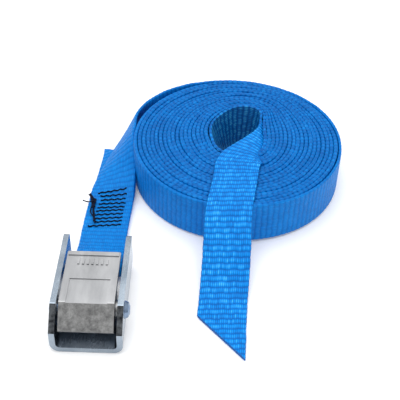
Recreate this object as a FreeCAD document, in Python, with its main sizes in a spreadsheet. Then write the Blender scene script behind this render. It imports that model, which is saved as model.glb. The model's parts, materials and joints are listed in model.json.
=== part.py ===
import FreeCAD, Part
import math
import os

import Sketcher

# A 25 mm cam buckle lashing strap: five metres of webbing wound in a flat coil, one end
# sewn round the buckle's rear bar, the free end folded out over the top of the coil.
# Millimetres. +Z is up, +Y points from the buckle towards the coil, and the origin is on
# the floor under the middle of the whole object.

DIMENSIONS = {
    # webbing
    "webbing_width": 25.0,
    "webbing_thickness": 2.0,
    "coil_radius": 60.0,
    "coil_x": 15.0,
    "coil_y": 40.0,
    "eye_x": 16.5,
    "eye_y": 48.5,
    "eye_half_width": 14.0,
    "eye_half_length": 22.0,
    "eye_lean": 22.0,
    # pressed steel frame of the buckle
    "buckle_x": -56.0,
    "frame_width": 34.4,
    "plate": 2.8,
    "ear_top": 22.0,
    "ear_front": -88.0,
    "ear_rear": -40.2,
    "lip_front": -98.5,
    "lip_height": 12.5,
    "bend_radius": 5.0,
    "inner_bend_radius": 2.2,
    "ear_round": 1.9,
    "foot_length": 4.0,
    "foot_height": 6.0,
    "ear_front_round": 0.8,
    "window_front": -74.0,
    "window_width": 26.6,
    "bar_y": -47.5,
    "bar_radius": 2.0,
    "bar_height": 4.35,
    "loop_leg": 3.5,
    # axle rivet
    "pivot_y": -83.0,
    "pivot_height": 13.5,
    "axle_radius": 2.5,
    "running_gap": 0.05,
    "head_radius": 4.5,
    "head_height": 2.4,
    "tail_head_radius": 4.0,
    "tail_head_height": 1.5,
    # cam lever, measured from its pivot
    "lever_width": 26.0,
    "lever_boss_width": 28.0,
    "lever_boss_radius": 4.3,
    "plate_top": 9.8,
    "plate_underside": 6.6,
    "plate_rear": 28.8,
    "plate_edge_round": 0.7,
    "fold_y": -5.0,
    "nose_y": -14.2,
    "nose_z": -0.6,
    "nose_thickness": 1.6,
    "throat_y": -8.0,
    "throat_z": -7.2,
    "bite_y": -3.0,
    "bite_z": -10.4,
    "tip_y": 0.4,
    "tip_z": -9.6,
    "cam_rear_y": 3.6,
    "cam_rear_z": -7.4,
    "hub_rear_y": 6.6,
    "hub_rear_z": -1.5,
    "recess_width": 19.5,
    "recess_rear": 10.0,
    "recess_depth": 0.4,
    "lip_strip": 2.6,
    "lip_strip_height": 0.5,
    "lip_strip_inset": 0.8,
    "lip_strip_margin": 0.6,
    "grip_front": 19.4,
    "grip_length": 4.0,
    "grip_width": 1.1,
    "grip_pitch": 2.3,
    "grip_height": 0.5,
    "grip_count": 7,
    "tooth_depth": 0.6,
    "tooth_half_width": 0.5,
    "tooth_step": 7.0,
    "tooth_count": 5,
    "slot_width": 9.0,
    "slot_front": -4.2,
    "slot_rear": 12.0,
    "slot_top": 5.0,
    "slot_step": -5.1,
    "slot_bottom": -12.0,
    # return spring
    "wire_radius": 0.6,
    "spring_radius": 3.4,
    "spring_pitch": 1.25,
    "spring_turns": 4,
    "upper_leg_y": 16.0,
    "upper_leg_z": 5.55,
    "lower_bend_y": 4.4,
    "lower_bend_z": 1.6,
    "lower_leg_y": 7.6,
    "lower_leg_z": -9.9,
    # stitching
    "stitch_rows": 10,
    "stitch_first_y": 11.5,
    "stitch_pitch": 3.0,
    "stitch_length": 15.5,
    "stitch_x": -54.4,
    "stitch_z": 4.32,
    "thread": 0.6,
    "knot_x": -63.9,
    "knot_y": -1.3,
    "knot_z": 5.1,
    "knot_half_length": 11.0,
    "knot_half_width": 1.3,
    "knot_half_height": 0.8,
}

doc = FreeCAD.newDocument("cam_buckle_strap")
dims = doc.addObject("Spreadsheet::Sheet", "Dims")
for row, (alias, value) in enumerate(DIMENSIONS.items(), start=1):
    dims.set(f"A{row}", alias)
    dims.set(f"B{row}", str(value))
    dims.setAlias(f"B{row}", alias)
doc.recompute()
D = DIMENSIONS


# ---------------------------------------------------------------- helpers

def new_body(name):
    body = doc.addObject("PartDesign::Body", name)
    body.Label = name
    return body


def sketch_on(body, role, name):
    """A sketch on one of the body's own origin planes."""
    plane = next(f for f in body.Origin.OriginFeatures if f.Role == role)
    sketch = body.newObject("Sketcher::SketchObject", name)
    sketch.AttachmentSupport = [(plane, "")]
    sketch.MapMode = "FlatFace"
    return sketch


def bind_point(sketch, geometry, point, x_formula, y_formula):
    """Ties a point of the sketch to two formulas of the spreadsheet's values."""
    for kind, formula in (("DistanceX", x_formula), ("DistanceY", y_formula)):
        index = sketch.addConstraint(Sketcher.Constraint(kind, -1, 1, geometry, point, 1.0))
        sketch.setExpression(f"Constraints[{index}]", formula)


def draw_outline(sketch, corners):
    """A closed outline of straight lines through corners given as pairs of formulas."""
    count = len(corners)
    first = sketch.GeometryCount
    spread = [FreeCAD.Vector(10 * math.cos(math.tau * i / count),
                             10 * math.sin(math.tau * i / count), 0) for i in range(count)]
    for i in range(count):
        sketch.addGeometry(Part.LineSegment(spread[i], spread[(i + 1) % count]), False)
    for i in range(count):
        after = first + (i + 1) % count
        sketch.addConstraint(Sketcher.Constraint("Coincident", first + i, 2, after, 1))
    for i, (x_formula, y_formula) in enumerate(corners):
        bind_point(sketch, first + i, 1, x_formula, y_formula)


def draw_box(sketch, low_x, high_x, low_y, high_y):
    draw_outline(sketch, [(low_x, low_y), (high_x, low_y), (high_x, high_y), (low_x, high_y)])


def draw_circle(sketch, x_formula, y_formula, radius_formula):
    circle = sketch.addGeometry(
        Part.Circle(FreeCAD.Vector(1, 1, 0), FreeCAD.Vector(0, 0, 1), 3.0), False)
    bind_point(sketch, circle, 3, x_formula, y_formula)
    index = sketch.addConstraint(Sketcher.Constraint("Radius", circle, 3.0))
    sketch.setExpression(f"Constraints[{index}]", radius_formula)


def pad(body, sketch, name, length_formula, symmetric=True, backwards=False):
    feature = body.newObject("PartDesign::Pad", name)
    feature.Profile = sketch
    feature.SideType = "Symmetric" if symmetric else "One side"
    feature.Reversed = backwards
    feature.setExpression("Length", length_formula)
    return feature


def cut(body, sketch, name, length_formula, symmetric=True, backwards=False):
    """A pocket that must take material away."""
    before = body.Shape.Volume
    feature = body.newObject("PartDesign::Pocket", name)
    feature.Profile = sketch
    feature.SideType = "Symmetric" if symmetric else "One side"
    feature.Reversed = backwards
    feature.setExpression("Length", length_formula)
    doc.recompute()
    if body.Shape.Volume > before - 0.01:
        raise RuntimeError(f"{name} cuts nothing")
    return feature


def edges_along(shape, direction, keep):
    """Names of the straight edges parallel to a direction whose middle passes a test."""
    names = []
    for index, edge in enumerate(shape.Edges, start=1):
        start = edge.Vertexes[0].Point
        along = (edge.Vertexes[-1].Point - start)
        if along.Length < 0.2 or edge.Curve.TypeId != "Part::GeomLine":
            continue
        middle = start + along * 0.5
        if abs(along.normalize().dot(direction)) > 0.999 and keep(middle):
            names.append(f"Edge{index}")
    return names


def fillet(body, base, name, radius_formula, edges):
    if not edges:
        raise RuntimeError(f"{name} found no edge")
    feature = body.newObject("PartDesign::Fillet", name)
    feature.Base = (base, edges)
    feature.setExpression("Radius", radius_formula)
    doc.recompute()
    return feature


def near(value, target, tolerance=0.05):
    return abs(value - target) < tolerance


ALONG_X = FreeCAD.Vector(1, 0, 0)
ALONG_Y = FreeCAD.Vector(0, 1, 0)


# ---------------------------------------------------------------- webbing

def make_coil():
    """The wound turns as one closed solid with the open eye in the middle."""
    body = new_body("webbing_coil")
    outline = sketch_on(body, "XY_Plane", "coil_outline")
    draw_circle(outline, "Dims.coil_x", "Dims.coil_y", "Dims.coil_radius")
    pad(body, outline, "coil_turns", "Dims.webbing_width", symmetric=False)
    doc.recompute()
    eye = sketch_on(body, "XY_Plane", "coil_eye_outline")
    center = FreeCAD.Vector(D["eye_x"], D["eye_y"], 0)
    lean = math.radians(D["eye_lean"])
    long_way = FreeCAD.Vector(math.sin(lean), math.cos(lean), 0) * D["eye_half_length"]
    short_way = FreeCAD.Vector(-math.cos(lean), math.sin(lean), 0) * D["eye_half_width"]
    eye.addGeometry(Part.Ellipse(center + long_way, center + short_way, center), False)
    cut(body, eye, "coil_eye", "Dims.webbing_width * 3")
    return body


def make_anchor_loop():
    """The turn of webbing round the rear bar of the frame, with two short straight legs."""
    body = new_body("webbing_anchor_loop")
    body.setExpression("Placement.Base.x", "Dims.buckle_x")
    outside = sketch_on(body, "YZ_Plane", "loop_outside")
    leg_end = "Dims.bar_y + Dims.loop_leg"
    draw_box(outside, "Dims.bar_y - Dims.bar_height", leg_end, "0", "Dims.bar_height * 2")
    pad(body, outside, "loop_block", "Dims.webbing_width")
    doc.recompute()
    inside = sketch_on(body, "YZ_Plane", "loop_inside")
    inner = "(Dims.bar_height - Dims.webbing_thickness)"
    draw_box(inside, f"Dims.bar_y - {inner}", f"{leg_end} + 5",
             "Dims.webbing_thickness", "Dims.bar_height * 2 - Dims.webbing_thickness")
    base = cut(body, inside, "loop_opening", "Dims.webbing_width * 2")
    inner_y = D["bar_y"] - D["bar_height"] + D["webbing_thickness"]
    base = fillet(body, base, "loop_inner_turn", f"{inner} * 0.98",
                  edges_along(base.Shape, ALONG_X, lambda p: near(p.y, inner_y)))
    outer_y = D["bar_y"] - D["bar_height"]
    fillet(body, base, "loop_outer_turn", "Dims.bar_height * 0.98",
           edges_along(base.Shape, ALONG_X, lambda p: near(p.y, outer_y)))
    return body


def ribbon(name, stations):
    """A length of flat webbing. Each station is the middle of the webbing and the direction
    across it from its left edge to its right edge; its thickness is square to both. An end
    that is cut aslant also gives the length of its cut."""
    half_thickness = D["webbing_thickness"] / 2
    middles = [FreeCAD.Vector(*station[0]) for station in stations]
    sections = []
    for index, (_, across, *slant) in enumerate(stations):
        half_width = (slant[0] if slant else D["webbing_width"]) / 2
        side = FreeCAD.Vector(*across).normalize()
        last = len(middles) - 1
        along = middles[min(index + 1, last)] - middles[max(index - 1, 0)]
        normal = side.cross(along).normalize()
        corners = [middles[index] + side * (half_width * a) + normal * (half_thickness * b)
                   for a, b in ((-1, -1), (1, -1), (1, 1), (-1, 1))]
        sections.append(Part.makePolygon(corners + corners[:1]))
    feature = doc.addObject("Part::Feature", name)
    feature.Label = name
    feature.Shape = Part.makeLoft(sections, True, True)
    return feature


def make_lead():
    """The outermost turn leaves the coil upright, leans outwards and lies down flat on its
    way to the buckle, where it becomes the upper leg of the anchor loop."""
    x = D["buckle_x"]
    loop_top = 2 * D["bar_height"] - D["webbing_thickness"] / 2
    leg_end = D["bar_y"] + D["loop_leg"]
    return ribbon("webbing_lead", [
        ((x, leg_end, loop_top), (1, 0, 0)),
        ((x, -39, loop_top - 1.0), (1, 0, 0)),
        ((x + 0.2, -31, 4.1), (1, 0, 0)),
        ((x + 0.5, -25, 3.2), (1, 0, 0)),
        ((x + 1.5, 12, 3.3), (1, 0.03, 0.02)),
        ((-54.4, 17.0, 5.2), (23.7, 1.0, 3.2)),
        ((-54.1, 24.8, 8.1), (21.0, 2.5, 8.6)),
        ((-53.7, 33.2, 11.6), (18.2, 1.5, 14.8)),
        ((-53.1, 42.8, 13.9), (15.0, 0.5, 19.0)),
        ((-52.1, 52.5, 14.4), (11.8, -1.0, 21.2)),
        ((-50.1, 62.5, 14.1), (9.8, -2.0, 23.0)),
        ((-45.4, 72.3, 13.6), (6.0, -2.6, 24.5)),
        ((-35.6, 80.8, 12.9), (0, 0, 1)),
        ((-24.4, 88.8, 12.7), (0, 0, 1)),
        ((-13.6, 94.2, 12.6), (0, 0, 1)),
    ])


def make_returned_end():
    """The end that comes back from the loop under the lead and is sewn to it."""
    x = D["buckle_x"]
    middle = D["webbing_thickness"] / 2
    return ribbon("webbing_returned_end", [
        ((x, D["bar_y"] + D["loop_leg"], middle), (1, 0, 0)),
        ((x + 0.4, -20, middle), (1, 0, 0)),
        ((x + 1.5, 8, middle), (1, 0, 0)),
        ((-54.3, 15, 2.3), (24.2, 0, 2.3)),
        ((-53.8, 24, 4.7), (23.2, 0, 6.6)),
        ((-53.4, 33, 6.2), (22.4, 0, 8.5)),
        ((-52.7, 45.9, 7.9), (20.9, -16.6, 10.6), 28.7),
    ])


def make_inner_twist():
    """The innermost turn climbs out of the coil's eye and turns flat over its rim."""
    top = D["webbing_width"] + 1.3
    return ribbon("webbing_inner_twist", [
        ((28.6, 62.0, 12.8), (0, 0, -1)),
        ((27.4, 55.0, 13.4), (0.10, 0, -1)),
        ((24.6, 48.0, 16.6), (0.40, 0.30, -0.87)),
        ((21.2, 40.0, 21.8), (0.75, 0.35, -0.55)),
        ((18.0, 30.0, top + 0.4), (0.95, 0.25, -0.12)),
        ((16.2, 22.0, top + 0.2), (1, 0.1, 0)),
        ((15.2, 16.0, top), (1, 0.07, 0)),
    ])


def make_tail():
    """The free end: over the coil's rim, down to the floor and on to its slanting cut."""
    across = (1, 0.06, 0)
    top = D["webbing_width"] + 1.3
    floor = D["webbing_thickness"] / 2
    run = [((x, y, z), across) for x, y, z in (
        (15.2, 16.0, top),
        (14.2, 5.0, top),
        (13.0, -6.0, top),
        (11.0, -20.0, top),
        (10.3, -24.5, 25.1),
        (9.9, -31.5, 21.2),
        (9.6, -40.0, 16.0),
        (9.3, -48.0, 10.8),
        (8.8, -56.5, 5.6),
        (8.4, -62.0, 2.9),
        (8.1, -67.0, 1.4),
        (7.8, -72.0, floor),
    )]
    slanting_end = ((7.0, -87.0, floor), (23.6, -26.0, 0), 35.1)
    return ribbon("webbing_tail", run + [slanting_end])


def make_stitching():
    """Ten rows of lock stitch that hold the returned end to the lead."""
    rows = []
    for row in range(D["stitch_rows"]):
        y = D["stitch_first_y"] - row * D["stitch_pitch"]
        left = D["stitch_x"] - D["stitch_length"] / 2
        rows.append(Part.makeBox(D["stitch_length"], D["thread"], D["thread"] * 0.6,
                                 FreeCAD.Vector(left, y - D["thread"] / 2, D["stitch_z"])))
    feature = doc.addObject("Part::Feature", "stitching")
    feature.Label = "stitching"
    feature.Shape = Part.makeCompound(rows)
    return feature


def make_thread_knot():
    """The bunched thread ends beside the stitching."""
    knot = doc.addObject("Part::Ellipsoid", "thread_knot")
    knot.Label = "thread_knot"
    knot.setExpression("Radius1", "Dims.knot_half_height")
    knot.setExpression("Radius2", "Dims.knot_half_width")
    knot.setExpression("Radius3", "Dims.knot_half_length")
    for axis in "xyz":
        knot.setExpression(f"Placement.Base.{axis}", f"Dims.knot_{axis}")
    return knot


# ---------------------------------------------------------------- buckle

def make_frame():
    """A channel of pressed steel: two ears whose front edges slant down and forwards, a
    base plate with an open window, and a round bar across the rear for the sewn loop."""
    body = new_body("buckle_frame")
    body.setExpression("Placement.Base.x", "Dims.buckle_x")
    side = sketch_on(body, "YZ_Plane", "frame_side")
    draw_outline(side, [
        ("Dims.lip_front", "0"),
        ("Dims.ear_rear - Dims.foot_length", "0"),
        ("Dims.ear_rear", "Dims.foot_height"),
        ("Dims.ear_rear", "Dims.ear_top"),
        ("Dims.ear_front", "Dims.ear_top"),
        ("Dims.lip_front", "Dims.lip_height"),
    ])
    pad(body, side, "frame_block", "Dims.frame_width")
    doc.recompute()

    channel = sketch_on(body, "XZ_Plane", "frame_channel")
    half_inside = "(Dims.frame_width / 2 - Dims.plate)"
    draw_box(channel, f"-{half_inside}", half_inside, "Dims.plate", "Dims.ear_top + 5")
    base = cut(body, channel, "frame_inside", "400")

    half = D["frame_width"] / 2
    bends = edges_along(base.Shape, ALONG_Y, lambda p: near(abs(p.x), half) and near(p.z, 0))
    base = fillet(body, base, "outer_bends", "Dims.bend_radius", bends)
    corners = edges_along(base.Shape, ALONG_Y, lambda p: near(abs(p.x), half - D["plate"])
                          and near(p.z, D["plate"]))
    base = fillet(body, base, "inner_bends", "Dims.inner_bend_radius", corners)
    for end, radius in (("ear_rear", "ear_round"), ("ear_front", "ear_front_round")):
        tops = edges_along(base.Shape, ALONG_X, lambda p: near(p.z, D["ear_top"])
                           and near(p.y, D[end]))
        base = fillet(body, base, f"{end}_corners", f"Dims.{radius}", tops)

    window = sketch_on(body, "XY_Plane", "frame_window")
    draw_box(window, "-Dims.window_width / 2", "Dims.window_width / 2",
             "Dims.window_front", "0")
    cut(body, window, "base_window", "60")

    bar = sketch_on(body, "YZ_Plane", "bar_section")
    draw_circle(bar, "Dims.bar_y", "Dims.bar_height", "Dims.bar_radius")
    pad(body, bar, "rear_bar", "Dims.frame_width - Dims.plate")
    doc.recompute()

    holes = sketch_on(body, "YZ_Plane", "axle_holes")
    draw_circle(holes, "Dims.pivot_y", "Dims.pivot_height",
                "Dims.axle_radius + Dims.running_gap")
    cut(body, holes, "axle_bores", "Dims.frame_width + 10")
    return body


def make_axle():
    """The rivet: a shank through both ears with a domed head at each end."""
    body = new_body("axle_rivet")
    body.setExpression("Placement.Base.x", "Dims.buckle_x")
    body.setExpression("Placement.Base.y", "Dims.pivot_y")
    body.setExpression("Placement.Base.z", "Dims.pivot_height")
    profile = sketch_on(body, "XZ_Plane", "rivet_profile")
    seat = "(Dims.frame_width / 2 + 0.02)"
    draw_outline(profile, [
        (f"-{seat} - Dims.tail_head_height", "0"),
        (f"{seat} + Dims.head_height", "0"),
        (f"{seat} + Dims.head_height", "Dims.head_radius * 0.45"),
        (f"{seat} + Dims.head_height * 0.7", "Dims.head_radius * 0.82"),
        (f"{seat}", "Dims.head_radius"),
        (f"{seat}", "Dims.axle_radius"),
        (f"-{seat}", "Dims.axle_radius"),
        (f"-{seat}", "Dims.tail_head_radius"),
        (f"-{seat} - Dims.tail_head_height * 0.7", "Dims.tail_head_radius * 0.85"),
        (f"-{seat} - Dims.tail_head_height", "Dims.tail_head_radius * 0.5"),
    ])
    turned = body.newObject("PartDesign::Revolution", "rivet_round")
    turned.Profile = profile
    turned.ReferenceAxis = (profile, ["H_Axis"])
    turned.Angle = 360.0
    doc.recompute()
    return body


def make_lever():
    """The die-cast cam lever. Its own origin is its pivot, so the teeth repeat round it."""
    body = new_body("cam_lever")
    body.setExpression("Placement.Base.x", "Dims.buckle_x")
    body.setExpression("Placement.Base.y", "Dims.pivot_y")
    body.setExpression("Placement.Base.z", "Dims.pivot_height")
    side = sketch_on(body, "YZ_Plane", "lever_side")
    draw_outline(side, [
        ("Dims.fold_y", "Dims.plate_top"),
        ("Dims.nose_y", "Dims.nose_z"),
        ("Dims.nose_y + Dims.nose_thickness * 0.6", "Dims.nose_z - Dims.nose_thickness"),
        ("Dims.throat_y", "Dims.throat_z"),
        ("Dims.bite_y", "Dims.bite_z"),
        ("Dims.tip_y", "Dims.tip_z"),
        ("Dims.cam_rear_y", "Dims.cam_rear_z"),
        ("Dims.hub_rear_y", "Dims.hub_rear_z"),
        ("Dims.hub_rear_y + 0.6", "Dims.plate_underside"),
        ("Dims.plate_rear", "Dims.plate_underside"),
        ("Dims.plate_rear", "Dims.plate_top"),
    ])
    pad(body, side, "lever_block", "Dims.lever_width")
    doc.recompute()

    slot = sketch_on(body, "YZ_Plane", "spring_slot_outline")
    draw_outline(slot, [
        ("Dims.slot_front", "Dims.slot_step"),
        ("0", "Dims.slot_step"),
        ("0", "Dims.slot_bottom"),
        ("Dims.slot_rear", "Dims.slot_bottom"),
        ("Dims.slot_rear", "Dims.slot_top"),
        ("Dims.slot_front", "Dims.slot_top"),
    ])
    base = cut(body, slot, "spring_slot", "Dims.slot_width")

    front_and_rear = edges_along(
        base.Shape, ALONG_X, lambda p: near(p.z, D["plate_top"])
        and (near(p.y, D["fold_y"]) or near(p.y, D["plate_rear"])))
    fillet(body, base, "plate_edges", "Dims.plate_edge_round", front_and_rear)

    recess = sketch_on(body, "XY_Plane", "recess_outline")
    draw_box(recess, "-Dims.recess_width / 2", "Dims.recess_width / 2",
             "Dims.fold_y - 4", "Dims.recess_rear")
    recess.setExpression("AttachmentOffset.Base.z", "Dims.plate_top")
    cut(body, recess, "plate_recess", "Dims.recess_depth * 2")

    bosses = sketch_on(body, "YZ_Plane", "boss_outline")
    draw_circle(bosses, "0", "0", "Dims.lever_boss_radius")
    pad(body, bosses, "side_bosses", "Dims.lever_boss_width")
    doc.recompute()
    again = sketch_on(body, "YZ_Plane", "slot_clearing")
    draw_box(again, "Dims.slot_front", "Dims.slot_rear", "Dims.slot_step", "Dims.slot_top")
    cut(body, again, "spring_slot_cleared", "Dims.slot_width")
    bore = sketch_on(body, "YZ_Plane", "bore_outline")
    draw_circle(bore, "0", "0", "Dims.axle_radius + Dims.running_gap")
    cut(body, bore, "lever_bore", "60")

    strip = sketch_on(body, "XY_Plane", "strip_outline")
    half = "(Dims.lever_width / 2 - Dims.lip_strip_margin)"
    strip_rear = "(Dims.plate_rear - Dims.lip_strip_inset)"
    draw_box(strip, f"-{half}", half, f"{strip_rear} - Dims.lip_strip", strip_rear)
    strip.setExpression("AttachmentOffset.Base.z", "Dims.plate_top")
    pad(body, strip, "rear_strip", "Dims.lip_strip_height * 2")

    grip = sketch_on(body, "XY_Plane", "grip_outline")
    first = "(Dims.grip_pitch * (Dims.grip_count - 1) / 2)"
    draw_box(grip, f"-{first} - Dims.grip_width / 2", f"-{first} + Dims.grip_width / 2",
             "Dims.grip_front", "Dims.grip_front + Dims.grip_length")
    grip.setExpression("AttachmentOffset.Base.z", "Dims.plate_top")
    bar = pad(body, grip, "grip_bar", "Dims.grip_height * 2")
    doc.recompute()
    bars = body.newObject("PartDesign::LinearPattern", "grip_bars")
    bars.Originals = [bar]
    bars.Direction = (grip, ["H_Axis"])
    bars.setExpression("Length", "Dims.grip_pitch * (Dims.grip_count - 1)")
    bars.setExpression("Occurrences", "Dims.grip_count")
    body.Tip = bars
    doc.recompute()

    notch = sketch_on(body, "YZ_Plane", "tooth_gap")
    draw_outline(notch, [
        ("Dims.tip_y - Dims.tooth_half_width", "Dims.bite_z - 2"),
        ("Dims.tip_y + Dims.tooth_half_width", "Dims.bite_z - 2"),
        ("Dims.tip_y", "Dims.tip_z + Dims.tooth_depth"),
    ])
    gap = cut(body, notch, "tooth_groove", "Dims.lever_width + 10")
    gaps = body.newObject("PartDesign::PolarPattern", "teeth")
    gaps.Originals = [gap]
    gaps.Axis = (notch, ["N_Axis"])
    gaps.Reversed = True
    gaps.setExpression("Angle", "Dims.tooth_step * (Dims.tooth_count - 1)")
    gaps.setExpression("Occurrences", "Dims.tooth_count")
    body.Tip = gaps
    doc.recompute()
    return body


def wire_run(start, end):
    """A straight run of spring wire with a round end where it joins the next run."""
    radius = D["wire_radius"]
    rod = Part.makeCylinder(radius, (end - start).Length, start, end - start)
    return rod.fuse(Part.makeSphere(radius, start))


def make_spring():
    """The torsion spring round the axle, as touching turns. One leg lifts the press plate
    and the other stands on the base plate."""
    ring = D["spring_radius"]
    pitch = D["spring_pitch"]
    half_length = pitch * (D["spring_turns"] - 1) / 2
    turns = [Part.makeTorus(ring, D["wire_radius"], FreeCAD.Vector(i * pitch - half_length, 0, 0),
                            ALONG_X) for i in range(D["spring_turns"])]
    upper_start = FreeCAD.Vector(-half_length - pitch, 0, ring)
    upper_end = FreeCAD.Vector(-half_length - pitch, D["upper_leg_y"], D["upper_leg_z"])
    lower_start = FreeCAD.Vector(half_length + pitch, 0, ring)
    lower_turn = FreeCAD.Vector(half_length + pitch, D["lower_bend_y"], D["lower_bend_z"])
    lower_end = FreeCAD.Vector(half_length + pitch, D["lower_leg_y"], D["lower_leg_z"])
    upper_leg = wire_run(upper_start, upper_end)
    lower_leg = wire_run(lower_start, lower_turn).fuse(wire_run(lower_turn, lower_end))
    feature = doc.addObject("Part::Feature", "return_spring")
    feature.Label = "return_spring"
    feature.Shape = Part.makeCompound(turns + [upper_leg, lower_leg])
    feature.Placement = FreeCAD.Placement(
        FreeCAD.Vector(D["buckle_x"], D["pivot_y"], D["pivot_height"]), FreeCAD.Rotation())
    return feature


# ---------------------------------------------------------------- document

parts = [
    make_coil(),
    make_lead(),
    make_returned_end(),
    make_anchor_loop(),
    make_inner_twist(),
    make_tail(),
    make_stitching(),
    make_thread_knot(),
    make_frame(),
    make_axle(),
    make_lever(),
    make_spring(),
]
doc.recompute()

for item in doc.Objects:
    if {"Invalid", "Error"} & set(item.State):
        raise RuntimeError(f"{item.Label} did not build: {item.State}")

os.makedirs("parts", exist_ok=True)
for part in parts:
    shape = part.Shape
    if shape.isNull() or not shape.isValid():
        raise RuntimeError(f"{part.Label} has no valid shape")
    box = shape.BoundBox
    print(f"{part.Label:22s} volume {shape.Volume:10.1f}  solids {len(shape.Solids)}  "
          f"x {box.XMin:7.2f} {box.XMax:7.2f}  y {box.YMin:7.2f} {box.YMax:7.2f}  "
          f"z {box.ZMin:6.2f} {box.ZMax:6.2f}")
    shape.exportStep(os.path.join("parts", f"{part.Label}.step"))
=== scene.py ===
import json
import math

import bmesh
import bpy
import numpy as np
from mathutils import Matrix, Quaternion, Vector


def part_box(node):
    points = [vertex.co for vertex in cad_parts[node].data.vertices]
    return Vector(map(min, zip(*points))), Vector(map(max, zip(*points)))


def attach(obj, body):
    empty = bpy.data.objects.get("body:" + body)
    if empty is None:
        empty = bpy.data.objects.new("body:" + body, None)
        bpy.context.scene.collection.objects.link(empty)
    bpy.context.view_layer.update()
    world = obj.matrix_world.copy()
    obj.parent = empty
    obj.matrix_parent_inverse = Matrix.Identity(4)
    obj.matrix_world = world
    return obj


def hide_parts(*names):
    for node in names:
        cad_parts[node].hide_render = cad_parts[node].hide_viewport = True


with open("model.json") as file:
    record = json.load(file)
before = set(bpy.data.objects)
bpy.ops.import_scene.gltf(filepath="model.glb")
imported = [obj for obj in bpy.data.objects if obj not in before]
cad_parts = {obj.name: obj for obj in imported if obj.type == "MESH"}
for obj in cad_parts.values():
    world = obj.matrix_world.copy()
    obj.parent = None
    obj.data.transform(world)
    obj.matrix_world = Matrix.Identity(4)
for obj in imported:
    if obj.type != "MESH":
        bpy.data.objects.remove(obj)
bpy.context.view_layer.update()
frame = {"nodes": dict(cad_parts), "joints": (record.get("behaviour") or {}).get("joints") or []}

MM = 0.001

# ---------------------------------------------------------------- places, in millimetres

BAR = next(np.array(joint["pos_m"]) / MM for joint in frame["joints"]
           if joint["name"] == "buckle_swing")
COIL_LOW, COIL_HIGH = (np.array(corner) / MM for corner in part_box("webbing_coil"))
COIL_CENTER = (COIL_LOW + COIL_HIGH) / 2
COIL_RADIUS = (COIL_HIGH[0] - COIL_LOW[0]) / 2
BUCKLE_X = BAR[0]

# The webbing. Its ribs run across it, its yarns along it.
WIDTH = 24.6
GROOVE_THICKNESS = 1.34
RIB_PITCH = 3.13
RIB_HEIGHT = 0.20
YARN_PITCH = 1.23
YARN_HEIGHT = 0.07
FULL_THICKNESS = GROOVE_THICKNESS + 2 * RIB_HEIGHT
MIDDLE_YARN = 20            # the UV map's place across, at the middle of the webbing
ENDS_PER_YARN = 1.2         # colour floats to each yarn pitch

# How finely it is built: rows along it, and points across its outer and its inner face.
STEP = RIB_PITCH / 8
STATION_STEP = 0.25         # between the first rows worked out from the stations
TURN_STEP = 0.0012          # between those of the turns, as a part of a turn
CROSS_POINTS = 49
FINE_FACES = (61, 31)
COARSE_FACES = (5, 5)
TRIM_REACH = 45.0           # how much of a piece's end a trimming cut looks at

# The coil, wound clockwise and inwards from its outermost start.
TURNS = 19.25
FIRST_ANGLE = math.radians(142)
COIL_SHIFT = np.array([-0.1, -0.7])
STANDING_HEIGHT = 0.75      # of the turns' lower edges, on average
LOOSE_GAP = 3.3             # how far the outermost start stands off the coil
LOOSE_TURNS = 0.12          # the part of a turn in which it comes to lie against it
LOOP_RADIUS = 2.32          # inside the loop round the rear bar

# The eye: how far its wall is from its middle, every 30 degrees anticlockwise from +X, and
# how much its last turn leans inwards.
EYE_MIDDLE = np.array([16.3, 47.0])
EYE_WALL = (12.1, 14.2, 23.0, 22.6, 18.2, 15.8, 15.1, 16.4, 20.6, 22.4, 20.0, 14.8)
EYE_LEAN = 0.34


# ---------------------------------------------------------------- small maths

def unit(rows):
    return rows / np.linalg.norm(rows, axis=-1, keepdims=True)


def smooth_step(value):
    value = np.clip(value, 0.0, 1.0)
    return value * value * (3 - 2 * value)


def hermite(knots, rows, where):
    """A smooth curve through rows at knots, read at where."""
    rows = np.asarray(rows, float)
    knots = np.asarray(knots, float)
    slopes = np.gradient(rows, knots, axis=0)
    span = np.clip(np.searchsorted(knots, where, side="right") - 1, 0, len(knots) - 2)
    width = (knots[span + 1] - knots[span])[:, None]
    t = (where - knots[span])[:, None] / width
    return ((2 * t**3 - 3 * t**2 + 1) * rows[span]
            + (t**3 - 2 * t**2 + t) * width * slopes[span]
            + (-2 * t**3 + 3 * t**2) * rows[span + 1]
            + (t**3 - t**2) * width * slopes[span + 1])


def chord_lengths(points):
    """How far along the run of points each of them is."""
    return np.concatenate([[0.0], np.cumsum(np.linalg.norm(np.diff(points, axis=0), axis=1))])


# ---------------------------------------------------------------- the strap's path

# The strap is one list of rows, square to its length. A row has its middle point, the
# direction across the webbing at its high edge and at its low edge, the place and the spread
# of the bend between those two, and how thick the webbing is there, as a share of the usual.
# A station is a listed row, and the rows between stations follow a smooth curve.

def eye_wall(angle):
    """Distance from the eye's middle to its wall at each angle, as a closed smooth curve."""
    count = len(EYE_WALL)
    knots = np.arange(-3, count + 4)
    walls = np.array([[EYE_WALL[k % count]] for k in knots])
    return hermite(knots, walls, np.mod(angle / math.tau * count, count))[:, 0]


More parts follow.
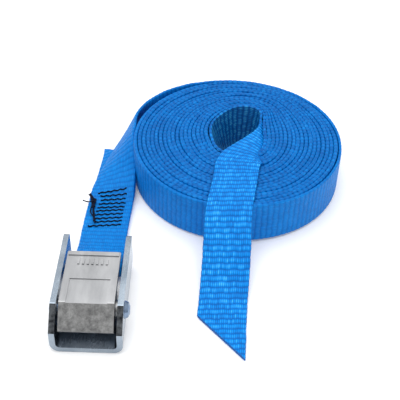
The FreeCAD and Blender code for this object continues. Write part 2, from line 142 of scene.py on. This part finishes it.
def turn_rows(turns):
    """Rows for the webbing after so many turns in from the outside, standing on its edge.
    Hand winding shows in slow waves of the turns' places and heights."""
    inward = turns / TURNS
    angle = FIRST_ANGLE - math.tau * turns
    ray = np.stack([np.cos(angle), np.sin(angle)], axis=1)
    loose = LOOSE_GAP * (1 - smooth_step(turns / LOOSE_TURNS))
    outer = COIL_CENTER[:2] + COIL_SHIFT + ray * (COIL_RADIUS + 0.2)
    inner = EYE_MIDDLE + ray * (eye_wall(angle) + FULL_THICKNESS / 2)[:, None]
    pitch = np.sum((outer - inner) * ray, axis=1) / TURNS
    drift = 0.10 * np.sin(turns * 17.3 + 2.1 * np.sin(angle * 2)) * np.sin(math.pi * inward)
    plan = outer * (1 - inward)[:, None] + inner * inward[:, None] + ray * (drift + loose)[:, None]

    # The inner turns stand a little higher than the outer ones, and have sunk beside the eye.
    lift = 0.30 * np.sin(turns * 9.1) * np.sin(turns * 4.7 + 1.3) + 0.25 * np.sin(turns * 23.0)
    lift = lift + 0.9 * smooth_step((inward - 0.55) / 0.45)
    beside_eye = np.clip(np.cos(angle + 0.15) - 0.55, 0, 1)
    sunk = 2.4 * beside_eye / 0.45 * smooth_step((inward - 0.74) / 0.2)
    top = WIDTH / 2 + STANDING_HEIGHT + np.maximum(lift, -0.4) - np.minimum(sunk, 0.7) + WIDTH / 2

    # Turns that others press on fill the whole pitch. The last one leans into the eye.
    packed = np.minimum(smooth_step(turns - 0.4), smooth_step((TURNS - turns) * 2 - 0.6))
    thick = 1 + (1.02 * pitch / FULL_THICKNESS - 1) * packed
    lean = EYE_LEAN * smooth_step((turns - TURNS + 0.66) / 0.28)
    high_edge = np.column_stack([plan, top])
    across = unit(np.column_stack([ray * lean[:, None], np.ones(len(turns))]))
    bending = np.tile([0, 5], (len(turns), 1))
    return np.column_stack([high_edge - across * WIDTH / 2, across, across, bending, thick])


def flat(middle, across):
    """A station where the webbing is straight across."""
    return (*middle, *across, *across, 0, 5, 1)


def between(low_edge, high_edge):
    """A station where the webbing is straight from one edge to the other."""
    low, high = np.array(low_edge, float), np.array(high_edge, float)
    return flat((low + high) / 2, unit(high - low))


def draped(high_edge, high_across, low_across, bend, spread):
    """A station held by its high edge, bending over from there to its low edge."""
    row = np.array([0, 0, 0, *high_across, *low_across, bend, spread, 1], float)
    offsets, _ = cross_line(row[None])
    row[:3] = np.array(high_edge) - offsets[0, -1]
    return tuple(row)


def cross_line(rows):
    """Points across the webbing from its low edge to its high one, about its middle, and
    the direction across at each of them."""
    place = np.linspace(-WIDTH / 2, WIDTH / 2, CROSS_POINTS)
    high, low = rows[:, 3:6], rows[:, 6:9]
    bent = smooth_step((place[None, :] - rows[:, 9:10]) / (2 * rows[:, 10:11]) + 0.5)
    across = unit(low[:, None, :] + (high - low)[:, None, :] * bent[:, :, None])
    run = np.cumsum((across[:, 1:] + across[:, :-1]) / 2 * (place[1] - place[0]), axis=1)
    run = np.concatenate([np.zeros((len(rows), 1, 3)), run], axis=1)
    return run - run[:, CROSS_POINTS // 2][:, None, :], across


def loop_stations():
    """Round the rear bar, from under it, past its front, to above it."""
    radius = FULL_THICKNESS / 2 + LOOP_RADIUS
    angles = np.radians([-100, -130, -160, 170, 140, 110, 85])
    return [flat((BUCKLE_X, BAR[1] + radius * math.cos(a), BAR[2] + radius * math.sin(a)),
                 (1, 0, 0)) for a in angles]


RETURNED_END = [
    between((-63.2, 60.0, 2.4), (-42.0, 60.0, 13.2)),
    between((-63.3, 48.0, 2.2), (-42.0, 48.0, 13.0)),
    between((-64.2, 36.0, 1.8), (-42.2, 36.0, 11.0)),
    between((-65.4, 24.0, 1.4), (-42.2, 24.0, 8.0)),
    between((-66.4, 14.0, 1.1), (-42.2, 14.0, 3.4)),
    flat((-55.2, 3.0, 1.0), (1, 0, 0)),
    flat((BUCKLE_X, -20.0, 1.0), (1, 0, 0)),
    flat((BUCKLE_X, -37.0, 1.0), (1, 0, 0)),
]
LEAD = [
    flat((BUCKLE_X, -42.5, 7.0), (1, 0, 0)),
    flat((BUCKLE_X, -37.0, 5.5), (1, 0, 0)),
    flat((BUCKLE_X, -30.0, 3.8), (1, 0, 0)),
    flat((BUCKLE_X, -22.0, 2.95), (1, 0, 0)),
    flat((-55.4, -5.0, 2.85), (1, 0, 0)),
    between((-67.0, 6.0, 3.0), (-42.6, 6.0, 3.2)),
    between((-66.3, 15.0, 3.4), (-42.6, 16.0, 6.6)),
    between((-64.2, 23.5, 3.8), (-43.2, 26.0, 12.4)),
    between((-62.3, 32.5, 4.2), (-44.1, 34.0, 19.0)),
    between((-60.1, 42.5, 4.0), (-44.3, 43.0, 23.6)),
    between((-57.4, 53.0, 3.2), (-43.9, 50.5, 25.0)),
    between((-54.6, 63.0, 0.9), (-43.6, 61.5, 25.2)),
    between((-47.3, 73.8, 0.8), (-40.5, 70.2, 25.6)),
]
TAIL = [
    draped((29.2, 58.5, 25.7), (-0.10, 0.06, 0.98), (0.10, 0.14, 1.0), 3, 10),
    draped((27.9, 51.8, 26.0), (-0.55, 0.12, 0.80), (0.0, 0.04, 1.0), 3, 10),
    draped((25.2, 46.0, 26.3), (-0.80, 0.35, 0.45), (0, 0.02, 1.0), 3, 9),
    draped((21.4, 40.8, 26.7), (-0.88, 0.42, 0.20), (0, 0.03, 1.0), 2, 9),
    draped((18.2, 36.5, 27.1), (-0.88, 0.45, 0.12), (0, 0.03, 1.0), 0.5, 8),
    draped((14.8, 32.7, 27.4), (-0.90, 0.42, 0.08), (-0.03, 0.05, 1.0), -2, 8),
    draped((11.0, 28.3, 27.7), (-0.93, 0.36, 0.04), (-0.15, 0.05, 0.98), -4.5, 7),
    draped((7.3, 24.0, 27.8), (-0.96, 0.26, 0.02), (-0.40, 0.04, 0.92), -7.5, 6.5),
    draped((4.7, 18.9, 27.8), (-0.98, 0.15, 0.0), (-0.70, 0.02, 0.70), -10, 6),
    draped((2.8, 12.8, 27.8), (-1.0, 0.03, 0.0), (-0.92, 0, 0.40), -12, 6),
    flat((14.2, 5.0, 27.6), (-1, -0.04, 0.0)),
    flat((13.0, -4.0, 27.1), (-1, -0.06, 0.0)),
    flat((11.4, -14.5, 26.6), (-1, -0.06, 0)),
    flat((10.2, -23.5, 25.1), (-1, -0.06, 0)),
    flat((9.8, -31.5, 21.0), (-1, -0.05, 0)),
    flat((9.6, -40.0, 16.0), (-1, -0.04, 0)),
    flat((9.3, -48.0, 10.8), (-1, -0.04, 0)),
    flat((8.8, -56.5, 5.4), (-1, -0.05, 0)),
    flat((8.2, -65.5, 1.9), (-1, -0.06, 0)),
    flat((7.6, -76.0, 1.0), (-1, -0.06, 0)),
    flat((7.0, -90.0, 1.0), (-1, -0.05, 0)),
    flat((6.4, -104.0, 1.0), (-1, -0.05, 0)),
]


def smooth_rows(stations):
    """Closely spaced rows along a smooth curve through the stations."""
    stations = np.array(stations, float)
    knots = chord_lengths(stations[:, :3])
    return hermite(knots, stations, np.arange(0, knots[-1], STATION_STEP))


def strap_path():
    """The whole strap from its sewn end to its free end, as evenly spaced rows, with how far
    along it each row is, where the coil starts, and how long it is after the coil."""
    joining = np.array([0.0, 0.02, 0.04, 0.06])
    first = smooth_rows(RETURNED_END + loop_stations() + LEAD + list(turn_rows(joining)))
    middle = turn_rows(np.arange(joining[-1], TURNS - joining[-1], TURN_STEP))
    last = smooth_rows(list(turn_rows(TURNS - joining[::-1])) + TAIL)
    rows = np.vstack([first, middle, last[1:]])
    knots = chord_lengths(rows[:, :3])
    keep = np.concatenate([[True], np.diff(knots) > 1e-6])
    rows, knots = rows[keep], knots[keep]
    where = np.arange(0, knots[-1], STEP)
    even = np.column_stack([np.interp(where, knots, column) for column in rows.T])
    return even, where, chord_lengths(first[:, :3])[-1], chord_lengths(last[:, :3])[-1]


# ---------------------------------------------------------------- meshes

def mesh_object(name, points, quads, uvs):
    """A smooth-shaded mesh from numpy rows, in millimetres, with its UV map."""
    mesh = bpy.data.meshes.new(name)
    mesh.vertices.add(len(points))
    mesh.vertices.foreach_set("co", (points * MM).ravel())
    mesh.loops.add(quads.size)
    mesh.loops.foreach_set("vertex_index", quads.ravel().astype(np.int32))
    mesh.polygons.add(len(quads))
    mesh.polygons.foreach_set("loop_start", np.arange(0, quads.size, 4, dtype=np.int32))
    mesh.update(calc_edges=True)
    mesh.validate()
    layer = mesh.uv_layers.new(name="weave")
    layer.data.foreach_set("uv", uvs[quads.ravel()].ravel())
    mesh.polygons.foreach_set("use_smooth", np.ones(len(mesh.polygons), bool))
    piece = bpy.data.objects.new(name, mesh)
    bpy.context.scene.collection.objects.link(piece)
    return piece


def close_ends(piece, ring, rings):
    """Fills the first and last cross sections of a tube of rings."""
    made = bmesh.new()
    made.from_mesh(piece.data)
    made.verts.ensure_lookup_table()
    made.faces.new([made.verts[i] for i in range(ring)][::-1])
    made.faces.new([made.verts[(rings - 1) * ring + i] for i in range(ring)])
    made.to_mesh(piece.data)
    made.free()


def rib_shape(along):
    """Rounded crests with narrow grooves, one to each rib pitch."""
    return np.abs(np.sin(math.pi * along / RIB_PITCH)) ** 0.65


# The points round each edge of the webbing, from its outer face to its inner one.
EDGE_SIDE = np.array([0.86, 0.36, -0.36, -0.86])
EDGE_BULGE = np.array([0.62, 1.0, 1.0, 0.62])


def section(face_points, back_points):
    """Each point of the webbing's cross section: its place across from -1 to 1, its side
    from 1 on the outer face to -1 on the inner one, and how far it bulges at the edge."""
    face = np.linspace(-1, 1, face_points)
    back = np.linspace(1, -1, back_points)
    edge = np.ones(len(EDGE_SIDE))
    place = np.concatenate([face, edge, back, -edge])
    side = np.concatenate([np.ones(face_points), EDGE_SIDE, -np.ones(back_points), -EDGE_SIDE])
    bulge = np.concatenate([np.zeros(face_points), EDGE_BULGE, np.zeros(back_points), -EDGE_BULGE])
    return place, side, bulge


def sample_across(values, place):
    """Reads rows of values along the cross line at places from -1 to 1."""
    at = (place + 1) / 2 * (CROSS_POINTS - 1)
    low = np.clip(at.astype(int), 0, CROSS_POINTS - 2)
    part = (at - low)[None, :, None]
    return values[:, low] * (1 - part) + values[:, low + 1] * part


def webbing(name, rows, lengths, faces):
    """A stretch of woven webbing: transverse ribs and lengthwise yarns as real relief. faces
    is the number of points across its outer and its inner face."""
    offsets, across = cross_line(rows)
    lines = rows[:, None, :3] + offsets
    normals = unit(np.cross(across, np.gradient(lines, axis=0)))
    place, side, bulge = section(*faces)
    inset = 1 - FULL_THICKNESS / WIDTH * 0.8
    points = sample_across(lines, place * inset)
    outward = sample_across(across, place * inset)
    normal = sample_across(normals, place * inset)

    # The ribs waver a little along the strap, and fade out at the edges.
    u = place * inset * WIDTH / 2
    length = lengths[:, None] + 0.16 * np.sin(u * 0.9 + lengths[:, None] * 0.11)
    rib = rib_shape(length)
    yarn = np.abs(np.sin(math.pi * u / YARN_PITCH))[None, :] ** 0.8
    fade = np.clip((1 - np.abs(place)) * 12, 0, 1)[None, :]
    thick = GROOVE_THICKNESS / 2 + RIB_HEIGHT * rib * (0.75 + 0.25 * fade)
    thick = (thick + YARN_HEIGHT * yarn * fade * rib) * rows[:, -1:]

    # The edges stand out at each rib, some ribs more than others.
    picks = np.random.default_rng(11).normal(0, 1, int(lengths[-1] / RIB_PITCH) + 3)
    fray = np.interp(lengths / RIB_PITCH, np.arange(len(picks)), picks)[:, None]
    edge = FULL_THICKNESS / 2 * (0.72 + 0.18 * rib + 0.08 * fray) * bulge[None, :]
    points = points + outward * edge[:, :, None] + normal * (thick * side[None, :])[:, :, None]

    rings, ring = thick.shape
    uvs = np.stack([(u[None, :] + edge) / YARN_PITCH + MIDDLE_YARN, length / RIB_PITCH], axis=2)
    start = np.arange(rings - 1)[:, None] * ring + np.arange(ring)[None, :]
    after = np.arange(rings - 1)[:, None] * ring + (np.arange(ring)[None, :] + 1) % ring
    quads = np.stack([start, after, after + ring, start + ring], axis=2).reshape(-1, 4)
    piece = mesh_object(name, points.reshape(-1, 3), quads, uvs.reshape(-1, 2))
    close_ends(piece, ring, rings)
    return piece


def trim(piece, end, point, normal):
    """Cuts off what lies beyond point along normal, at the first or the last end of a finely
    built piece."""
    made = bmesh.new()
    made.from_mesh(piece.data)
    made.verts.ensure_lookup_table()
    reach = int(TRIM_REACH / STEP) * (sum(FINE_FACES) + 2 * len(EDGE_SIDE))
    near = made.verts[:reach] if end == "first" else made.verts[-reach:]
    edges = {e for v in near for e in v.link_edges}
    faces = {f for v in near for f in v.link_faces}
    cut = bmesh.ops.bisect_plane(made, geom=near + list(edges) + list(faces),
                                 plane_co=Vector(point) * MM, plane_no=Vector(normal),
                                 clear_outer=True)
    rim = [e for e in cut["geom_cut"] if isinstance(e, bmesh.types.BMEdge)]
    bmesh.ops.edgeloop_fill(made, edges=rim)
    made.to_mesh(piece.data)
    made.free()


# ---------------------------------------------------------------- materials

class NodeTree:
    """The nodes of a material or of the world, with short calls to add more."""

    def __init__(self, owner):
        owner.use_nodes = True
        self.nodes = owner.node_tree.nodes
        self.links = owner.node_tree.links

    def feed(self, node, inputs):
        """Sets the node's sockets to values, or links other nodes' outputs to them."""
        for socket, source in inputs.items():
            if isinstance(source, bpy.types.NodeSocket):
                self.links.new(source, node.inputs[socket])
            else:
                node.inputs[socket].default_value = source

    def add(self, kind, inputs, **settings):
        node = self.nodes.new("ShaderNode" + kind)
        for setting, value in settings.items():
            setattr(node, setting, value)
        self.feed(node, inputs)
        return node

    def calc(self, operation, *sources):
        return self.add("Math", dict(enumerate(sources)), operation=operation).outputs[0]

    def about_zero(self, source, amount):
        """What swings about 0.5, as a swing of the given amount about zero."""
        return self.calc("MULTIPLY", self.calc("SUBTRACT", source, 0.5), amount)

    def arches(self, source):
        """Rounded arches from 0 to 1, one to each whole number."""
        return self.calc("ABSOLUTE", self.calc("SINE", self.calc("MULTIPLY", source, math.pi)))

    def noise(self, vector, scale, detail, roughness=0.5):
        return self.add("TexNoise", {"Vector": vector, "Scale": scale, "Detail": detail,
                                     "Roughness": roughness}).outputs["Fac"]

    def ramp(self, source, *stops):
        node = self.add("ValToRGB", {"Fac": source})
        elements = node.color_ramp.elements
        while len(elements) < len(stops):
            elements.new(0.5)
        for element, (place, colour) in zip(elements, stops):
            element.position = place
            element.color = (*colour, 1)
        return node.outputs["Color"]

    def coordinates(self, kind):
        return self.add("TexCoord", {}).outputs[kind]

    def bump(self, height, strength, distance):
        return self.add("Bump", {"Height": height, "Strength": strength,
                                 "Distance": distance}).outputs["Normal"]


def new_material(name, build, **details):
    """A material whose Principled shader has the inputs that build gives for its tree."""
    material = bpy.data.materials.new(name)
    tree = NodeTree(material)
    tree.feed(tree.nodes["Principled BSDF"], build(tree, **details))
    return material


def woven_blue(tree, contrast, brightness, edge_brightness):
    """Blue polyester webbing: a painted highlight on each rib's short yarn floats, painted shade
    in the grooves, and painted light levels of its own for the piece and for its selvedges.
    contrast is 1 for webbing that shows its weave plainly."""
    uv = tree.add("UVMap", {}, uv_map="weave").outputs["UV"]
    split = tree.add("SeparateXYZ", {0: uv})
    across, along = split.outputs["X"], split.outputs["Y"]

    # the floats, each of its own tone
    ends = tree.calc("MULTIPLY", across, ENDS_PER_YARN)
    cell = tree.add("CombineXYZ", {0: tree.calc("FLOOR", ends), 1: tree.calc("FLOOR", along)})
    tone = tree.add("TexWhiteNoise", {"Vector": cell.outputs[0]}).outputs["Value"]
    rib = tree.calc("POWER", tree.arches(along), 0.6)
    dash = tree.calc("MULTIPLY", rib, tree.arches(ends))

    # clouds over many floats, and the fibres within one
    patch = tree.noise(tree.coordinates("Object"), 70.0, 3.0)
    fibre = tree.add("CombineXYZ", {0: tree.calc("MULTIPLY", across, 5.0),
                                    1: tree.calc("MULTIPLY", along, 0.9)})
    threads = tree.noise(fibre.outputs[0], 1.6, 3.0)

    # the ribs darken towards their grooves as painted shade, and the floats' dashes lift towards
    # the highlight colour as painted highlights; the tones, clouds and fibres are the webbing's
    # own
    weave = tree.calc("ADD", tree.calc("MULTIPLY", rib, 0.30), tree.calc("MULTIPLY", dash, 0.46))
    for source, amount in ((tone, 0.32), (patch, 0.45), (threads, 0.40)):
        weave = tree.calc("ADD", weave, tree.about_zero(source, amount))
    weave = tree.calc("ADD", tree.about_zero(weave, contrast), 0.5)
    # from painted groove shade, through the webbing's blue, to the colour of a painted highlight
    colour = tree.ramp(weave, (0.0, (0.0, 0.120, 0.46)), (0.40, (0.0, 0.205, 0.69)),
                       (0.75, (0.002, 0.31, 0.91)), (1.0, (0.07, 0.52, 1.0)))

    # painted light levels: one for the whole piece, another for its selvedges, which are darker as
    # painted shade on most pieces and lighter as painted light on the eye turn's rim
    off_middle = tree.calc("ABSOLUTE", tree.calc("SUBTRACT", across, MIDDLE_YARN))
    selvedge = tree.calc("GREATER_THAN", off_middle, WIDTH / YARN_PITCH / 2 - 0.35)
    value = tree.calc("ADD", brightness,
                      tree.calc("MULTIPLY", selvedge, edge_brightness - brightness))
    shade = tree.add("HueSaturation", {"Color": colour, "Value": value})
    height = tree.calc("ADD", dash, tree.calc("MULTIPLY", threads, 0.9))
    return {"Base Color": shade.outputs["Color"], "Roughness": 0.45, "Specular IOR Level": 0.12,
            "Normal": tree.bump(height, 0.5, 0.0003)}


def worked_metal(tree, light, dark, roughness, scale, stretch=(1, 1, 1), rough_face=None):
    """A plated or cast metal: cloudy colour, uneven roughness, fine relief and scratches. The
    last argument gives the direction of a coarser face, its two colours and its roughness: its
    pits and roughness are real, and its two colours are darkened as painted shade and painted
    reflection of the dark surroundings in front of it."""
    place = tree.coordinates("Object")
    stretched = tree.add("Mapping", {"Vector": place, "Scale": stretch}).outputs["Vector"]
    cloud = tree.noise(stretched, scale, 5.0, 0.6)
    speckle = tree.noise(place, scale * 12, 3.0, 0.7)
    streaks = tree.add("Mapping", {"Vector": place, "Scale": (30, 2.2, 8),
                                   "Rotation": (0, 0, 0.35)}).outputs["Vector"]
    scratches = tree.ramp(tree.noise(streaks, 60.0, 2.0),
                          (0.62, (0, 0, 0)), (0.70, (1, 1, 1)))

    colour = tree.ramp(cloud, (0.30, dark), (0.70, light))
    rough = tree.calc("ADD", tree.about_zero(cloud, 0.25), roughness)
    rough = tree.calc("ADD", rough, tree.calc("MULTIPLY", scratches, 0.12))
    height = tree.calc("ADD", speckle, tree.calc("MULTIPLY", scratches, -0.5))
    strength = 0.25

    # the coarse face: real pits, relief and roughness, with colours darkened as painted shade and
    # painted reflection
    if rough_face:
        direction, pale, deep, coarse = rough_face
        facing = tree.add("VectorMath", {0: tree.coordinates("Normal"), 1: direction},
                          operation="DOT_PRODUCT").outputs["Value"]
        mask = tree.ramp(facing, (0.970, (0, 0, 0)), (0.992, (1, 1, 1)))
        pits = tree.noise(place, scale * 5, 6.0, 0.75)
        pitted_and_shaded = tree.ramp(pits, (0.36, deep), (0.62, pale))
        colour = tree.add("Mix", {"Factor": mask, "A": colour, "B": pitted_and_shaded},
                          data_type="RGBA").outputs["Result"]
        rough = tree.calc("ADD", rough, tree.calc("MULTIPLY", mask, coarse - roughness))
        relief = tree.calc("MULTIPLY", tree.calc("MULTIPLY", mask, pits), 4.0)
        height = tree.calc("ADD", height, relief)
        strength = 0.4

    return {"Base Color": colour, "Roughness": rough, "Metallic": 1.0,
            "Normal": tree.bump(height, strength, 0.00006)}


def sewing_thread(tree):
    fibres = tree.noise(tree.coordinates("Object"), 900.0, 2.0)
    colour = tree.ramp(fibres, (0.3, (0.001, 0.002, 0.008)), (0.7, (0.006, 0.010, 0.030)))
    return {"Base Color": colour, "Roughness": 0.7, "Specular IOR Level": 0.1}


def pale_paint(tree):
    grain = tree.noise(tree.coordinates("Object"), 4.0, 3.0)
    colour = tree.ramp(grain, (0.0, (0.93, 0.93, 0.93)), (1.0, (0.95, 0.95, 0.95)))
    return {"Base Color": colour, "Emission Color": (1, 1, 1, 1), "Emission Strength": 0.12,
            "Roughness": 0.9, "Specular IOR Level": 0.1}


# ---------------------------------------------------------------- build: strap

PATH, LENGTHS, TURN_START, TAIL_LENGTH = strap_path()

# The strap's four pieces meet at these rows: after the outermost turn, before the innermost
# one, and in the twist out of the eye.
EYE_TURN_LENGTH = 125.0
TAIL_OVERHANG = 12.0
OUTER_END = int((TURN_START + math.tau * COIL_RADIUS * 1.02) / STEP)
EYE_START = len(PATH) - int((TAIL_LENGTH + EYE_TURN_LENGTH) / STEP)
TAIL_START = len(PATH) - int((TAIL_LENGTH - TAIL_OVERHANG) / STEP)


def blue(name, contrast, brightness, edge_brightness):
    return new_material(name, woven_blue, contrast=contrast, brightness=brightness,
                        edge_brightness=edge_brightness)


def strap_piece(name, first, last, faces, material, nodes):
    """One piece of the strap, from its first row to its last, in place of the CAD nodes."""
    piece = webbing(name, PATH[first:last], LENGTHS[first:last], faces)
    piece.data.materials.append(material)
    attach(piece, "strap")
    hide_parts(*nodes)
    return piece


# The four pieces share one blue webbing at different painted light levels: the eye turn is
# darkened as painted shade inside the eye with its rim painted lighter, the tail is painted
# lighter where light falls on its top, and the lead and the turns lie between.
lead = strap_piece(
    "strap_lead", 0, OUTER_END, FINE_FACES, blue("blue_webbing_smooth", 0.55, 0.82, 0.78),
    ("webbing_lead", "webbing_returned_end", "webbing_anchor_loop"))
strap_piece(
    "strap_turns", OUTER_END - 2, EYE_START + 2, COARSE_FACES,
    blue("blue_webbing", 0.95, 0.75, 0.73), ("webbing_coil",))
strap_piece(
    "strap_eye_turn", EYE_START, TAIL_START + 1, FINE_FACES,
    blue("blue_webbing_painted_shade", 1.9, 0.44, 0.80), ("webbing_coil",))
tail = strap_piece(
    "strap_tail", TAIL_START, len(PATH), FINE_FACES,
    blue("blue_webbing_ribbed_painted_light", 1.2, 0.93, 0.80), ("webbing_inner_twist", "webbing_tail"))
trim(lead, "first", (-63.2, 54.2, 0), (4.2, 5.3, 0))
trim(tail, "last", (18.4, -100.6, 0), (-28.4, -25.0, 0))


# ---------------------------------------------------------------- build: sewing

THREAD = new_material("black_thread", sewing_thread)
THREAD_RADIUS = 0.38
FIRST_ROW_Y = 12.6
ROW_PITCH = 3.01
ROW_STARTS = (-8.0, -6.4, -5.7, -6.4, -6.6, -6.8, -6.7, -6.5, -6.5, -9.4)
ROW_END = 8.4
STITCH = 3.4


def on_strap(length, u, lift):
    """The point above the webbing's outer face at a length along it and u across it."""
    at = int(round(length / STEP))
    rows = PATH[at - 1:at + 2]
    offsets, across = cross_line(rows)
    place = np.array([u]) / WIDTH * 2
    before, here, after = sample_across(rows[:, None, :3] + offsets, place)[:, 0]
    sideways = sample_across(across, place)[1, 0]
    along = unit(after - before)
    part = length / STEP - at
    return here + along * part * STEP + unit(np.cross(sideways, along)) * lift


def thread_piece(name, strands, radius, node):
    """Smooth round strands in one curve, in place of the CAD node."""
    data = bpy.data.curves.new(name, "CURVE")
    data.dimensions = "3D"
    data.bevel_depth = radius * MM
    data.bevel_resolution = 3
    data.resolution_u = 4
    for strand in strands:
        spline = data.splines.new("NURBS")
        spline.points.add(len(strand) - 1)
        for point, place in zip(spline.points, strand):
            point.co = (*(float(c) * MM for c in place), 1)
        spline.order_u = 3
        spline.use_endpoint_u = True
    piece = bpy.data.objects.new(name, data)
    bpy.context.scene.collection.objects.link(piece)
    data.materials.append(THREAD)
    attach(piece, "strap")
    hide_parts(node)


def length_at_y(y):
    """How far along the strap the lead, which is the upper run, passes y."""
    upper = np.nonzero((PATH[:, 2] > 2.5) & (PATH[:, 0] < -40) & (PATH[:, 1] < 60))[0]
    return LENGTHS[upper[np.argmin(np.abs(PATH[upper, 1] - y))]]


def stitch_rows():
    """Rows of thread across the lead, which waver and dip at each stitch."""
    strands = []
    for row, start in enumerate(ROW_STARTS):
        middle = length_at_y(FIRST_ROW_Y - row * ROW_PITCH)
        slant = 0.12 if row else 0.17
        places = np.arange(start, ROW_END, STITCH / 6)
        stitches = places / STITCH + 0.13 * row
        wave = 0.34 * np.sin(math.tau * stitches)
        height = FULL_THICKNESS / 2 + 0.12 + 0.34 * np.abs(np.sin(math.pi * stitches))
        strands.append([on_strap(middle + u * slant + w, u, h)
                        for u, w, h in zip(places, wave, height)])
    thread_piece("stitch_rows", strands, THREAD_RADIUS, "stitching")


def thread_tuft():
    """Ends of thread knotted over the rows' left ends, with one whisker standing out."""
    draw = np.random.default_rng(7)
    top = np.array([-66.7, 9.6, 4.8])
    heart = np.array([-64.2, 3.2, 5.0])
    foot = np.array([-61.9, -12.6, 4.7])
    run = np.array([top, (top + heart) / 2, heart, heart + (0.5, -4.2, 0.1),
                    (heart + foot) / 2 + (0.3, -1.5, 0), foot])
    strands = []

    # ends that lie along the edge: three from the heart to the foot, the others from the top
    for strand in range(14):
        shaken = run + draw.normal(0, 0.50, run.shape) * (1, 1.6, 0.5)
        strands.append(shaken[2:] if strand < 3 else shaken[:4])

    # the knot: tilted rings of several sizes
    for _ in range(11):
        angle = np.linspace(0, math.tau * 1.2, 9) + draw.uniform(0, 6)
        tilt = draw.uniform(-0.6, 0.6)
        ring = np.stack([1.25 * np.cos(angle), 2.1 * np.sin(angle) + tilt * np.cos(angle),
                         0.5 + 0.5 * np.cos(angle + tilt)], axis=1)
        strands.append(heart + (0.1, 0.2, -0.2) + ring * draw.uniform(0.45, 1.15))

    whisker = [heart + (0.4, -0.4, 0.8), (-66.2, 1.9, 6.0), (-68.2, 1.7, 6.3), (-70.0, 1.9, 7.2)]
    slack_loop = [(-61.6, -12.4, 4.6), (-62.6, -9.0, 5.0), (-65.0, -6.0, 4.9),
                  (-65.3, -2.0, 5.0), heart]
    thread_piece("thread_tuft", strands + [whisker, slack_loop], THREAD_RADIUS * 0.9,
                 "thread_knot")


stitch_rows()
thread_tuft()


# ---------------------------------------------------------------- build: metal

# The frame's slanted front faces are coloured near black and the lever's front face mid grey, as
# painted shade and painted reflection of the dark surroundings in front; their pits and roughness
# are real.
METALS = {
    "buckle_frame": new_material(
        "zinc_plate", worked_metal, light=(0.36, 0.415, 0.475), dark=(0.235, 0.285, 0.345),
        roughness=0.24, scale=60.0,
        rough_face=((0, -0.67, 0.74), (0.13, 0.14, 0.15), (0.012, 0.013, 0.016), 0.55)),
    "cam_lever": new_material(
        "cast_zinc", worked_metal, light=(0.42, 0.425, 0.435), dark=(0.30, 0.305, 0.315),
        roughness=0.34, scale=45.0, stretch=(3, 0.7, 1),
        rough_face=((0, -0.75, 0.66), (0.36, 0.36, 0.355), (0.15, 0.15, 0.15), 0.5)),
    "axle_rivet": new_material(
        "rivet_steel", worked_metal, light=(0.26, 0.34, 0.46), dark=(0.16, 0.22, 0.32),
        roughness=0.20, scale=90.0),
    "return_spring": new_material(
        "spring_steel", worked_metal, light=(0.5, 0.5, 0.52), dark=(0.35, 0.35, 0.37),
        roughness=0.3, scale=200.0),
}
for node, metal in METALS.items():
    frame["nodes"][node].data.materials.clear()
    frame["nodes"][node].data.materials.append(metal)


# ---------------------------------------------------------------- stage, lights, camera

def make_floor():
    bpy.ops.mesh.primitive_plane_add(size=6.0, location=(0, 0, -0.0002))
    floor = bpy.context.object
    floor.name = "floor"
    floor.data.materials.append(new_material("pale_floor", pale_paint))


def make_light():
    """A large soft light over the object."""
    data = bpy.data.lights.new("key", "AREA")
    data.shape = "RECTANGLE"
    data.size = data.size_y = 1.2
    data.energy = 9
    light = bpy.data.objects.new("key", data)
    light.location = (-0.10, 0.15, 1.2)
    toward = Vector((0, 0, 0.01)) - light.location
    light.rotation_euler = toward.to_track_quat("-Z", "Y").to_euler()
    bpy.context.scene.collection.objects.link(light)


def make_sky():
    """White from above, a little greyer towards and below the horizon."""
    world = bpy.data.worlds.new("studio")
    tree = NodeTree(world)
    split = tree.add("SeparateXYZ", {0: tree.coordinates("Generated")})
    colour = tree.ramp(split.outputs["Z"], (0.0, (0.55, 0.57, 0.60)),
                       (0.22, (0.62, 0.64, 0.67)), (0.75, (1, 1, 1)))
    tree.feed(tree.nodes["Background"], {"Color": colour, "Strength": 1.0})
    bpy.context.scene.world = world


def make_camera():
    """Looking down at 41 degrees from in front, turned a little about its own axis."""
    data = bpy.data.cameras.new("camera")
    data.lens = 76.5
    data.sensor_width = 36.0
    camera = bpy.data.objects.new("camera", data)
    target = Vector((-5.0, 13.5, 0.0)) * MM
    elevation = math.radians(41.0)
    away = Vector((0, -math.cos(elevation), math.sin(elevation)))
    camera.location = target + away * 485.0 * MM
    look = (-away).to_track_quat("-Z", "Y")
    camera.rotation_euler = (look @ Quaternion((0, 0, 1), math.radians(1.9))).to_euler()
    bpy.context.scene.collection.objects.link(camera)
    bpy.context.scene.camera = camera


bpy.context.scene.view_settings.view_transform = "Standard"
make_floor()
make_light()
make_sky()
make_camera()
